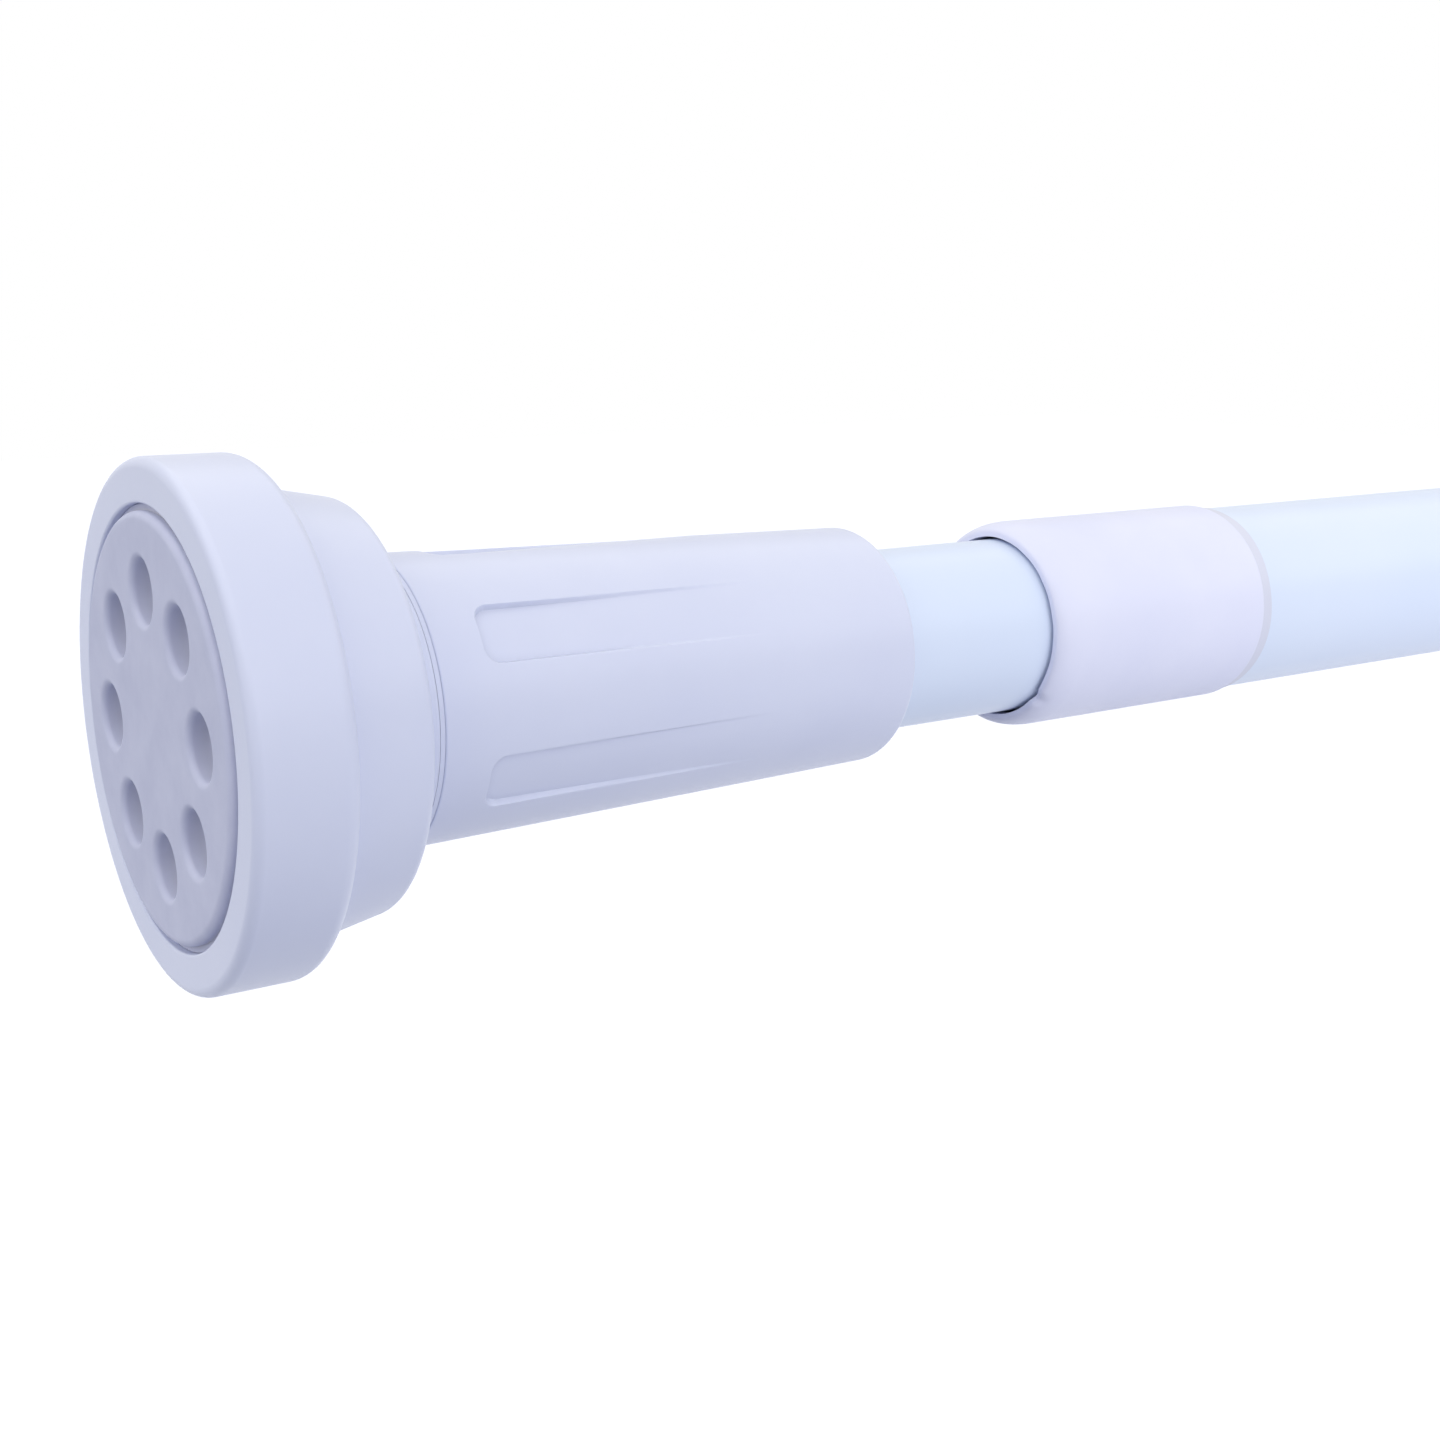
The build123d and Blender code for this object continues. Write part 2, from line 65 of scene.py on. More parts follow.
# Foot moulding
RING_LENGTH = 10.2 * MM
RING_RIM = 4.4 * MM
RING_STEP = 3.15 * MM
RING_FRONT_ROUND = 1.1 * MM
RING_BACK_ROUND = 1.6 * MM
RING_CORNER = 1.0 * MM
COLLAR_LENGTH = 9.5 * MM
COLLAR_TAPER = 1.85 * MM
COLLAR_ROUND = 1.4 * MM
NECK_RADIUS = 15.3 * MM
NECK_REACH = 0.25 * MM
SEAT_RADIUS = 8.2 * MM
SEAT_DEPTH = 3.0 * MM
FOOT_WALL = 2.6 * MM
HUB_RADIUS = 10.5 * MM
POCKET_RADIUS = 8.6 * MM
POCKET_DEPTH = 6.4 * MM
STUD_HOLE_RADIUS = 4.1 * MM
RIB_COUNT = 8
RIB_THICKNESS = 1.6 * MM

# Wall pad
PAD_EDGE_ROUND = 0.8 * MM
PAD_FLANGE_DEPTH = 1.2 * MM
PAD_FLAT = 0.3 * MM
HOLE_COUNT = 8
HOLE_RADIUS = 3.2 * MM
HOLE_RIM = 0.7 * MM
HOLE_ROUND = 1.4 * MM
HOLE_DEPTH = 3.2 * MM
HOLE_CIRCLE_RADIUS = 13.5 * MM
HOLE_STEPS = 48
# Painted shade down in the pad's holes: its colour and open-space limits
HOLE_SHADE_COLOUR = (0.56, 0.56, 0.60)
HOLE_SHADE_OPENNESS = (0.35, 0.95)
CLOCKING = radians(-4.0)

# Grip and far sleeve
SLEEVE_TAPER = 1.3 * MM
SLEEVE_BACK_ROUND = 0.9 * MM
SLEEVE_STEPS = (4, 24, 40)
BEAD_LENGTH = 1.5 * MM
BEAD_ROUND = 0.24 * MM
GROOVE_WIDTH = 0.5 * MM
GROOVE_DEPTH = 0.1 * MM
PANEL_COUNT = 6
PANEL_WIDTH = 6.5 * MM
PANEL_START = 7.3 * MM
PANEL_CORNER = 1.8 * MM
PANEL_DEPTH = 0.85 * MM
PANEL_WALL = 0.28 * MM
PANEL_STEPS = (20, 4, 20, 16)
SCREW_HOLE_RADIUS = 5.4 * MM
PRESS_CLEARANCE = 0.05 * MM

# Tubes and mouth collar: a ripple is rows of share, waves round the rim and phase
TUBE_WALL = 0.6 * MM
TUBE_EDGE_ROUND = 0.15 * MM
MOUTH_LIP_RADIUS = 11.4 * MM
MOUTH_LIP_LENGTH = 2.0 * MM
MOUTH_NOSE_LENGTH = 4.0 * MM
MOUTH_NOSE_DROP = 1.3 * MM
MOUTH_BACK_ROUND = 0.35 * MM
TRIM_WAVE = 0.16 * MM
TRIM_RIPPLE = ((0.25, 3, 0.7), (0.15, 7, 2.1), (0.1, 17, 0))
TRIM_NICK = 0.45 * MM
TRIM_NICK_AT = radians(-42)
TRIM_NICK_WIDTH = radians(7)
SKIRT_LENGTH = 2.1 * MM
SKIRT_RAISE = 0.2 * MM
SKIRT_WAVE = 0.35 * MM
SKIRT_RIPPLE = ((0.3, 2, 1.3), (0.2, 5, 0))
SKIRT_COLOUR = (0.662, 0.682, 0.812)

# Jack screw
THREAD_PITCH = 3.0 * MM
THREAD_RADIUS = 5.0 * MM
THREAD_CORE_RADIUS = 3.4 * MM
THREAD_CREST = 0.3
THREAD_ROOT = 0.3
STUD_RADIUS = 4.0 * MM
CLIP_GROOVE = 0.9 * MM
SCREW_CHAMFER = 0.5 * MM
SCREW_STEPS = 64

# Corner softness and painted shade of moulded edges, and fineness of the meshes
FINE_ROUND = 0.3 * MM
# Painted shade in moulded corners: its reach, how much darker the colour gets, and its open-space limits
CORNER_SHADE_REACH = 1.3 * MM
CORNER_SHADE_TONE = 0.8
CORNER_SHADE_OPENNESS = (0.45, 0.95)
TURN_STEPS = 192
ARC_STEPS = 8
SHARP_EDGE = radians(35)
WELD = 1e-7


def ends_of(node):
    """Ends of a node along the rod."""
    low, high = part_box(node)
    return low.x, high.x


def radius_of(node):
    """Largest radius of a turned node."""
    low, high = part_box(node)
    return (high.y - low.y) / 2


def smooth_step(value):
    """Eases from 0 to 1."""
    t = min(max(value, 0.0), 1.0)
    return t * t * (3 - 2 * t)


def rounded(corners):
    """Closed outline of (x, radius) points from (x, radius, rounding) corners."""
    outline = []
    for i, (x, r, rounding) in enumerate(corners):
        corner = Vector((x, r))
        if not rounding:
            outline.append((x, r))
            continue
        before = (Vector(corners[i - 1][:2]) - corner).normalized()
        after = (Vector(corners[(i + 1) % len(corners)][:2]) - corner).normalized()
        half = before.angle(after) / 2
        centre = corner + (before + after).normalized() * rounding / sin(half)
        first = corner + before * rounding / tan(half) - centre
        last = corner + after * rounding / tan(half) - centre
        start = atan2(first.y, first.x)
        sweep = (atan2(last.y, last.x) - start + pi) % (2 * pi) - pi
        for k in range(ARC_STEPS + 1):
            a = start + sweep * k / ARC_STEPS
            outline.append((centre.x + rounding * cos(a), centre.y + rounding * sin(a)))
    return outline


def even_turn(steps=TURN_STEPS):
    """Evenly spaced angles round the rod."""
    return [2 * pi * k / steps for k in range(steps)]


def quarter_turn(steps=ARC_STEPS):
    """Angles of a quarter circle."""
    return [pi / 2 * k / steps for k in range(steps + 1)]


def clocked(angle):
    """Angle of a hole, rib or panel, turned to stand as in the photograph."""
    return angle - CLOCKING + pi / 2


def ripple(angle, rows):
    """Uneven line round a rim, between 0 and 1."""
    return 0.5 + sum(share * sin(waves * angle + phase) for share, waves, phase in rows)


def lathe(bm, outline, angles, shape=None):
    """Turns a closed outline about X. shape(x, radius, angle) may move a point."""
    rings = []
    for a in angles:
        points = [shape(x, r, a) for x, r in outline] if shape else outline
        rings.append([bm.verts.new((x, -r * cos(a), r * sin(a))) for x, r in points])
    for k, ring in enumerate(rings):
        bridge(bm, ring, rings[(k + 1) % len(rings)])


def ring_of(bm, centre, x, radius, steps):
    """Ring of points about a line along X through centre."""
    cy, cz = centre
    return [bm.verts.new((x, cy - radius * cos(a), cz + radius * sin(a))) for a in even_turn(steps)]


def bridge(bm, first, second):
    """Closed band of faces between two rows with the same count."""
    for k in range(len(first)):
        j = (k + 1) % len(first)
        bm.faces.new((first[k], first[j], second[j], second[k]))


def chain(bm, rings):
    """Bands of faces from each ring to the next."""
    for first, second in zip(rings, rings[1:]):
        bridge(bm, first, second)


def loop_edges(bm, ring):
    """Edges round a ring of points that faces already join."""
    return [bm.edges.get((ring[k], ring[(k + 1) % len(ring)])) for k in range(len(ring))]


def solid_turn(bm, points):
    """Turned solid with flat ends: (x, radius) points run from one end to the other."""
    rings = [ring_of(bm, (0, 0), x, r, SCREW_STEPS) for x, r in points]
    chain(bm, rings)
    bm.faces.new(rings[0])
    bm.faces.new(rings[-1])


def end_for_end(bm):
    """Turns a mesh made at the jack end into its place at the far wall."""
    length = ends_of("far_pad")[1]
    for v in bm.verts:
        v.co = (length - v.co.x, -v.co.y, v.co.z)


# Forms of the pieces


def foot_mesh(bm):
    """Foot moulding: ring, tapered collar and neck, with the hub, pocket and ribs behind the pad."""
    ring_front, neck_back = ends_of("near_foot")
    pad_back = ends_of("near_pad")[1]
    ring_radius = radius_of("near_foot")
    recess = ring_radius - RING_RIM
    collar_front = ring_radius - RING_STEP
    collar_end = collar_front - COLLAR_TAPER
    ring_back = ring_front + RING_LENGTH
    collar_back = ring_back + COLLAR_LENGTH
    cavity_back = collar_back - FOOT_WALL
    cavity = collar_end - FOOT_WALL
    pocket_floor = pad_back + POCKET_DEPTH
    seat = neck_back - SEAT_DEPTH
    neck_end = neck_back + NECK_REACH
    corners = [
        (pad_back, cavity, 0),
        (pad_back, recess, FINE_ROUND),
        (ring_front, recess, FINE_ROUND),
        (ring_front, ring_radius, RING_FRONT_ROUND),
        (ring_back, ring_radius, RING_BACK_ROUND),
        (ring_back, collar_front, RING_CORNER),
        (collar_back, collar_end, COLLAR_ROUND),
        (collar_back, NECK_RADIUS, FINE_ROUND),
        (neck_end, NECK_RADIUS, TUBE_EDGE_ROUND),
        (neck_end, SEAT_RADIUS, FINE_ROUND),
        (seat, SEAT_RADIUS, 0),
        (seat, STUD_HOLE_RADIUS, 0),
        (pocket_floor, STUD_HOLE_RADIUS, 0),
        (pocket_floor, POCKET_RADIUS, 0),
        (pad_back, POCKET_RADIUS, 0),
        (pad_back, HUB_RADIUS, 0),
        (cavity_back, HUB_RADIUS, 0),
        (cavity_back, cavity, 0),
    ]
    lathe(bm, rounded(corners), even_turn())
    inner = (HUB_RADIUS + POCKET_RADIUS) / 2
    outer = cavity + FOOT_WALL / 2
    for i in range(RIB_COUNT):
        rib_mesh(bm, clocked(2 * pi * i / RIB_COUNT), pad_back, cavity_back, inner, outer)


def rib_mesh(bm, angle, front, back, inner, outer):
    """Straight rib between the hub and the collar's wall, with its ends sunk in both."""
    out = Vector((0, -cos(angle), sin(angle)))
    side = Vector((0, sin(angle), cos(angle))) * RIB_THICKNESS / 2
    rows = []
    for x in (front, back + FINE_ROUND):
        along = Vector((x, 0, 0))
        square = (out * inner - side, out * outer - side, out * outer + side, out * inner + side)
        rows.append([bm.verts.new(along + corner) for corner in square])
    bridge(bm, *rows)
    for row in rows:
        bm.faces.new(row)


def pad_mesh(bm):
    """Wall pad: round-edged disc with a low seating flange and a ring of blind holes with soft rims."""
    front, back = ends_of("near_pad")
    radius = radius_of("near_pad")
    seat = radius_of("near_foot") - RING_RIM - PRESS_CLEARANCE
    flange = front + PAD_FLANGE_DEPTH
    side = [(front, radius - PAD_EDGE_ROUND - PAD_FLAT)]
    for t in quarter_turn():
        side.append((front + PAD_EDGE_ROUND * (1 - cos(t)), radius - PAD_EDGE_ROUND * (1 - sin(t))))
    side += [(flange, radius), (flange, seat), (back, seat)]
    rings = [ring_of(bm, (0, 0), x, r, TURN_STEPS) for x, r in side]
    chain(bm, rings)
    bm.faces.new(rings[-1])
    face_edges = loop_edges(bm, rings[0])
    floor = front + HOLE_DEPTH
    hole = [(front, HOLE_RADIUS + HOLE_RIM + PAD_FLAT)]
    for t in quarter_turn():
        hole.append((front + HOLE_RIM * (1 - cos(t)), HOLE_RADIUS + HOLE_RIM * (1 - sin(t))))
    for t in quarter_turn():
        hole.append((floor - HOLE_ROUND * (1 - sin(t)), HOLE_RADIUS - HOLE_ROUND * (1 - cos(t))))
    for i in range(HOLE_COUNT):
        a = clocked(2 * pi * i / HOLE_COUNT)
        centre = (-HOLE_CIRCLE_RADIUS * cos(a), HOLE_CIRCLE_RADIUS * sin(a))
        rings = [ring_of(bm, centre, x, r, HOLE_STEPS) for x, r in hole]
        chain(bm, rings)
        bm.faces.new(rings[-1])
        face_edges += loop_edges(bm, rings[0])
    facing = (-1, 0, 0)
    bmesh.ops.triangle_fill(bm, edges=face_edges, use_beauty=True, use_dissolve=False, normal=facing)


def sleeve_angles(radius):
    """Angles round a sleeve, closer together at its panels' edges."""
    half = PANEL_WIDTH / 2 / radius
    edge = PANEL_WALL / radius
    corner = PANEL_CORNER / radius
    pitch = 2 * pi / PANEL_COUNT
    marks = [-half - edge, -half + corner + edge, half - corner - edge, half + edge, pitch - half - edge]
    angles = []
    for i in range(PANEL_COUNT):
        centre = clocked(pitch * i)
        for low, high, count in zip(marks, marks[1:], PANEL_STEPS):
            angles += [centre + low + (high - low) * k / count for k in range(count)]
    return angles


def sleeve_mesh(bm, bore, inside, nut_seat=None):
    """Tapered sleeve with its bead, groove and six soft-edged panels.

    inside gives the corners within its bore, and nut_seat the radius among them that is hexagonal.
    """
    front, back = ends_of("grip")
    front_radius = radius_of("grip")
    back_radius = front_radius - SLEEVE_TAPER
    bead_back = front + BEAD_LENGTH
    taper_front = bead_back + GROOVE_WIDTH
    panel_front = front + PANEL_START
    panel_floor = front_radius - PANEL_DEPTH
    panel_edge = panel_front - PANEL_WALL
    corner_end = panel_front + PANEL_CORNER + PANEL_WALL
    last = back - 2 * SLEEVE_BACK_ROUND
    groove = front_radius - GROOVE_DEPTH
    stations = []
    marks = (taper_front + FINE_ROUND, panel_edge, corner_end, last)
    for low, high, count in zip(marks, marks[1:], SLEEVE_STEPS):
        stations += [low + (high - low) * k / count for k in range(count)]
    slope = (back_radius - front_radius) / (back - taper_front)
    corners = [
        (front, front_radius, BEAD_ROUND),
        (bead_back, front_radius, BEAD_ROUND),
        (bead_back, groove, 0),
        (taper_front, groove, 0),
        (taper_front, front_radius, BEAD_ROUND),
        *((x, front_radius + slope * (x - taper_front), 0) for x in stations),
        (back, back_radius, SLEEVE_BACK_ROUND),
        (back, bore, FINE_ROUND),
        *inside,
    ]
    pitch = 2 * pi / PANEL_COUNT

    def shaped(x, r, a):
        if r == nut_seat:
            return x, r / cos(a % (pi / 3) - pi / 6)
        if r <= panel_floor or not panel_edge <= x <= last:
            return x, r
        turn = (a + CLOCKING - pi / 2 + pitch / 2) % pitch - pitch / 2
        across = abs(r * sin(turn)) - PANEL_WIDTH / 2 + PANEL_CORNER
        along = panel_front + PANEL_CORNER - x
        outside = hypot(max(across, 0), max(along, 0)) + min(max(across, along), 0) - PANEL_CORNER
        return x, r - (r - panel_floor) * smooth_step(-outside / PANEL_WALL)

    lathe(bm, rounded(corners), sleeve_angles(front_radius), shaped)


def grip_mesh(bm):
    """Turning grip, with a web at the foot and a hexagonal seat for its nut."""
    front = ends_of("grip")[0]
    nut_front, nut_back = ends_of("jack_nut")
    nut_low, nut_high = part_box("jack_nut")
    flats = (nut_high.z - nut_low.z) / 2 + PRESS_CLEARANCE
    bore = radius_of("grip_bearing") + PRESS_CLEARANCE
    inside = [
        (nut_back, bore, 0),
        (nut_back, flats, 0),
        (nut_front, flats, 0),
        (nut_front, SCREW_HOLE_RADIUS, 0),
        (front, SCREW_HOLE_RADIUS, 0),
    ]
    sleeve_mesh(bm, bore, inside, flats)


def far_sleeve_mesh(bm):
    """Fixed sleeve of the same outer form, bored for the outer tube."""
    front = ends_of("grip")[0]
    web_back = ends_of("jack_nut")[0]
    bore = radius_of("outer_tube") + PRESS_CLEARANCE
    inside = [(web_back, bore, 0), (web_back, SEAT_RADIUS, 0), (front, SEAT_RADIUS, 0)]
    sleeve_mesh(bm, bore, inside)
    end_for_end(bm)


def far_foot_mesh(bm):
    """Foot moulding turned end for end."""
    foot_mesh(bm)
    end_for_end(bm)


def far_pad_mesh(bm):
    """Wall pad turned end for end."""
    pad_mesh(bm)
    end_for_end(bm)


def tube_mesh(bm, node):
    """Thin tube with softly rounded cut ends."""
    low, high = ends_of(node)
    radius = radius_of(node)
    bore = radius - TUBE_WALL
    corners = ((low, bore), (low, radius), (high, radius), (high, bore))
    lathe(bm, rounded([(x, r, TUBE_EDGE_ROUND) for x, r in corners]), even_turn())


def inner_tube_mesh(bm):
    """Tube that slides."""
    tube_mesh(bm, "inner_tube")


def outer_tube_mesh(bm):
    """Tube that it slides in."""
    tube_mesh(bm, "outer_tube")


def mouth_mesh(bm):
    """Collar over the outer tube's mouth: round nose, trimmed rim with one nick, thin rear skirt."""
    low, high = ends_of("mouth_collar")
    radius = radius_of("mouth_collar")
    bore = radius_of("outer_tube") + PRESS_CLEARANCE
    lip_back = low + MOUTH_LIP_LENGTH
    skirt_front = high - SKIRT_LENGTH
    skirt = bore + SKIRT_RAISE
    nose = []
    for t in quarter_turn(2 * ARC_STEPS):
        nose.append((low + MOUTH_NOSE_LENGTH * (1 - cos(t)), radius - MOUTH_NOSE_DROP * (1 - sin(t)), 0))
    corners = [
        (low, MOUTH_LIP_RADIUS, 0),
        *nose,
        (skirt_front, radius, MOUTH_BACK_ROUND),
        (skirt_front, skirt, 0),
        (high, skirt, 0),
        (high, bore, 0),
        (lip_back, bore, 0),
        (lip_back, MOUTH_LIP_RADIUS, 0),
    ]

    def trimmed(x, r, a):
        fade = smooth_step(1 - (x - low) / MOUTH_LIP_LENGTH)
        off = (a - TRIM_NICK_AT + pi) % (2 * pi) - pi
        nick = smooth_step(1 - abs(off) / TRIM_NICK_WIDTH)
        cut_back = fade * (TRIM_WAVE * ripple(a, TRIM_RIPPLE) + TRIM_NICK * nick)
        rear = smooth_step((x - skirt_front) / SKIRT_LENGTH)
        return x + cut_back - rear * SKIRT_WAVE * ripple(a, SKIRT_RIPPLE), r

    lathe(bm, rounded(corners), even_turn(2 * TURN_STEPS), trimmed)


def thread_mesh(bm, start, end):
    """Trapezoidal right-hand thread whose grid follows its helix, fading out at both ends."""
    flank = (1 - THREAD_CREST - THREAD_ROOT) / 2
    profile = (
        (0, THREAD_CORE_RADIUS),
        (THREAD_ROOT, THREAD_CORE_RADIUS),
        (THREAD_ROOT + flank, THREAD_RADIUS),
        (THREAD_ROOT + flank + THREAD_CREST, THREAD_RADIUS),
    )
    turns = int((end - start) / THREAD_PITCH) + 2
    columns = []
    for k in range(SCREW_STEPS + 1):
        a = 2 * pi * k / SCREW_STEPS
        column = []
        for turn in range(turns + 1):
            for share, r in profile:
                x = start + THREAD_PITCH * (turn + share - k / SCREW_STEPS)
                x = min(max(x, start), end)
                fade = smooth_step(2 * min(x - start, end - x) / THREAD_PITCH)
                height = THREAD_CORE_RADIUS + (r - THREAD_CORE_RADIUS) * fade
                column.append(bm.verts.new((x, -height * cos(a), height * sin(a))))
        columns.append(column)
    for first, second in zip(columns, columns[1:]):
        for i in range(len(first) - 1):
            bm.faces.new((first[i], first[i + 1], second[i + 1], second[i]))
    for side in (0, -1):
        bm.faces.new([column[side] for column in columns[:-1]])


def screw_mesh(bm):
    """Jack screw: stud, shoulder, long thread, clip groove and tail."""
    low, high = ends_of("jack_screw")
    neck_back = ends_of("near_foot")[1]
    clip_front, clip_back = ends_of("stop_clip")
    shoulder = radius_of("jack_screw")
    seat = neck_back - SEAT_DEPTH
    groove = THREAD_RADIUS - CLIP_GROOVE
    stud = [(low, STUD_RADIUS - SCREW_CHAMFER), (low + SCREW_CHAMFER, STUD_RADIUS), (seat, STUD_RADIUS)]
    head = [(seat, shoulder), (neck_back - FINE_ROUND, shoulder), (neck_back, shoulder - FINE_ROUND)]
    tail = [(high - SCREW_CHAMFER, THREAD_RADIUS), (high, THREAD_RADIUS - SCREW_CHAMFER)]
    solid_turn(bm, stud + head)
    thread_mesh(bm, neck_back - FINE_ROUND, clip_front + FINE_ROUND)
    solid_turn(bm, [(clip_front, groove), (clip_back, groove), (clip_back, THREAD_RADIUS), *tail])


def add_object(name, data):
    """New object in the scene."""
    made = bpy.data.objects.new(name, data)
    bpy.context.scene.collection.objects.link(made)
    return made


def place(name, make, body, node, material):
    """Builds a piece, puts it in the place of its solid and rides it on its body."""
    bm = bmesh.new()
    make(bm)
    bmesh.ops.remove_doubles(bm, verts=bm.verts, dist=WELD)
    bmesh.ops.dissolve_degenerate(bm, edges=bm.edges, dist=WELD)
    bmesh.ops.recalc_face_normals(bm, faces=bm.faces)
    mesh = bpy.data.meshes.new(name)
    bm.to_mesh(mesh)
    bm.free()
    mesh.shade_smooth()
    mesh.set_sharp_from_angle(angle=SHARP_EDGE)
    mesh.materials.append(material)
    piece = add_object(name, mesh)
    normals = piece.modifiers.new("even_normals", "WEIGHTED_NORMAL")
    normals.keep_sharp = True
    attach(piece, body)
    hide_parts(node)


# Materials: noise scales are marks per metre

NOISE_RANGE = (0.3, 0.7)


def new_material(name):
    """Principled material and its object coordinates."""
    material = bpy.data.materials.new(name)
    material.use_nodes = True
    tree = material.node_tree
    shader = tree.nodes["Principled BSDF"]
    coords = tree.nodes.new("ShaderNodeTexCoord").outputs["Object"]
    return material, tree, shader, coords


def stretch(tree, coords, scale):
    """Coordinates scaled per axis, for marks drawn out along or round the rod."""
    mapping = tree.nodes.new("ShaderNodeMapping")
    mapping.inputs["Scale"].default_value = scale
    tree.links.new(coords, mapping.inputs["Vector"])
    return mapping.outputs["Vector"]


def noise(tree, coords, scale, detail=3.0, roughness=0.55):
    """Soft noise whose marks are about 1 / scale metres across."""
    node = tree.nodes.new("ShaderNodeTexNoise")
    node.inputs["Scale"].default_value = scale
    node.inputs["Detail"].default_value = detail
    node.inputs["Roughness"].default_value = roughness
    tree.links.new(coords, node.inputs["Vector"])
    return node.outputs["Fac"]


def spread(tree, value, low, high, out_low, out_high):
    """Maps a value from one range to another, held at the ends."""
    node = tree.nodes.new("ShaderNodeMapRange")
    ends = {"From Min": low, "From Max": high, "To Min": out_low, "To Max": out_high}
    for key, number in ends.items():
        node.inputs[key].default_value = number
    tree.links.new(value, node.inputs["Value"])
    return node.outputs["Result"]


def tint(tree, factor, first, second):
    """Colour that runs from first to second."""
    ramp = tree.nodes.new("ShaderNodeValToRGB")
    ramp.color_ramp.elements[0].color = (*first, 1)
    ramp.color_ramp.elements[1].color = (*second, 1)
    tree.links.new(factor, ramp.inputs["Fac"])
    return ramp.outputs["Color"]


def bump(tree, height, distance, strength, under=None):
    """Bump of a height in metres, over another bump where one is given."""
    node = tree.nodes.new("ShaderNodeBump")
    node.inputs["Distance"].default_value = distance
    node.inputs["Strength"].default_value = strength
    tree.links.new(height, node.inputs["Height"])
    if under:
        tree.links.new(under, node.inputs["Normal"])
    return node.outputs["Normal"]


def wire(tree, shader, cloud, colours, rough_by, roughness, normal):
    """Feeds a shader its clouded colour, varied roughness and bumped normal."""
    colour = tint(tree, spread(tree, cloud, *NOISE_RANGE, 0, 1), *colours)
    tree.links.new(colour, shader.inputs["Base Color"])
    tree.links.new(spread(tree, rough_by, *NOISE_RANGE, *roughness), shader.inputs["Roughness"])
    tree.links.new(normal, shader.inputs["Normal"])


def overlay(tree, shader, share, colour):
    """Blends a plain colour over a shader's clouded one."""
    under = shader.inputs["Base Color"].links[0].from_socket
    blend = tree.nodes.new("ShaderNodeMix")
    blend.data_type = "RGBA"
    blend.inputs["B"].default_value = (*colour, 1)
    tree.links.new(share, blend.inputs["Factor"])
    tree.links.new(under, blend.inputs["A"])
    tree.links.new(blend.outputs["Result"], shader.inputs["Base Color"])


def paint_hollow_shade(tree, shader, reach, openness, colour):
    """Paints shade: blends a plain colour into corners and holes that have little open space within
    reach.
    """
    hollow = tree.nodes.new("ShaderNodeAmbientOcclusion")
    hollow.only_local = True
    hollow.inputs["Distance"].default_value = reach
    overlay(tree, shader, spread(tree, hollow.outputs["AO"], *openness, 1, 0), colour)


def moulded_plastic(name, *colours):
    """Satin moulded plastic: faint clouding, fine grain, slow sink in the surface and painted shade in
    its corners.
    """
    material, tree, shader, coords = new_material(name)
    cloud = noise(tree, coords, scale=55, detail=4)
    grain = noise(tree, coords, scale=2600, detail=2)
    sink = bump(tree, noise(tree, coords, scale=38, detail=1), distance=0.6 * MM, strength=0.10)
    normal = bump(tree, grain, distance=0.03 * MM, strength=0.06, under=sink)
    wire(tree, shader, cloud, colours, grain, roughness=(0.29, 0.36), normal=normal)
    # Painted shade: a darker copy of the plastic's colour in corners and recesses
    corner_shade_colour = [CORNER_SHADE_TONE * c for c in colours[1]]
    paint_hollow_shade(tree, shader, CORNER_SHADE_REACH, CORNER_SHADE_OPENNESS, corner_shade_colour)
    shader.inputs["IOR"].default_value = 1.49
    shader.inputs["Subsurface Weight"].default_value = 0.08
    shader.inputs["Subsurface Radius"].default_value = (1.0, 1.0, 1.1)
    shader.inputs["Subsurface Scale"].default_value = 1.2 * MM
    return material


def soft_rubber(name, *colours):
    """Matte rubber: mottled, with a fine leathery grain, and painted shade, greyer, down in its holes.
    """
    material, tree, shader, coords = new_material(name)
    mottle = noise(tree, coords, scale=190, detail=5, roughness=0.6)
    leather = bump(tree, noise(tree, coords, scale=420), distance=0.12 * MM, strength=0.1)
    grain = noise(tree, coords, scale=2400, detail=2)
    normal = bump(tree, grain, distance=0.04 * MM, strength=0.08, under=leather)
    wire(tree, shader, mottle, colours, mottle, roughness=(0.62, 0.78), normal=normal)
    shader.inputs["Sheen Weight"].default_value = 0.08
    # Painted shade: greyer colour down in the holes, where open space is small
    paint_hollow_shade(tree, shader, HOLE_DEPTH, HOLE_SHADE_OPENNESS, HOLE_SHADE_COLOUR)
    return material


def coated_steel(name, *colours):
    """Satin coat on thin tube: faint orange peel and drawing lines along the tube."""
    material, tree, shader, coords = new_material(name)
    cloud = noise(tree, coords, scale=30)
    drawn = noise(tree, stretch(tree, coords, (8, 500, 500)), scale=1.0)
    peel = bump(tree, noise(tree, coords, scale=420, detail=2), distance=0.03 * MM, strength=0.16)
    normal = bump(tree, drawn, distance=0.02 * MM, strength=0.12, under=peel)
    wire(tree, shader, cloud, colours, drawn, roughness=(0.29, 0.37), normal=normal)
    shader.inputs["IOR"].default_value = 1.42
    shader.inputs["Coat Weight"].default_value = 0.06
    shader.inputs["Coat Roughness"].default_value = 0.22
    return material


